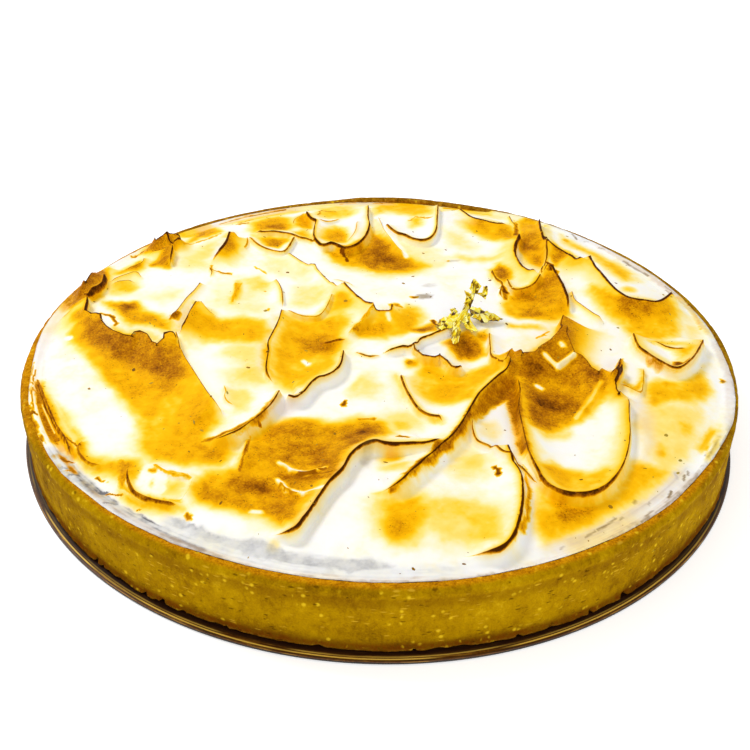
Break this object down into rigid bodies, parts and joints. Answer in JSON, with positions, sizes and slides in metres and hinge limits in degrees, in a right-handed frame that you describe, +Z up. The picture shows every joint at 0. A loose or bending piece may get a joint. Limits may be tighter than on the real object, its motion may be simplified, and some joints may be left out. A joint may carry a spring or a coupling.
{
  "type": "lemon meringue tart",
  "caption": "Round straight-sided tart on its thin cake card: pastry case filled to the rim, spatula-swept torched meringue top, small twist of gold leaf.",
  "frame": {"origin": "on the table, under the centre of the pastry case", "axes": "+Z up; -Y towards the side the picture was taken from; +X to that viewer's right"},
  "size_m": [0.2207, 0.223, 0.0355],
  "materials": {
    "card": "gold laminated face, satin to glossy",
    "pastry": "baked shortcrust, dry and fine-grained, mustard brown",
    "meringue": "smooth soft meringue, white where bare, torched yellow to brown in patches",
    "gold": "thin crumpled leaf, bright metallic"
  },
  "bodies": {
    "root": {"cake_card": "card", "tart_shell": "pastry", "meringue": "meringue", "gold_leaf": "gold"}
  },
  "joints": []
}
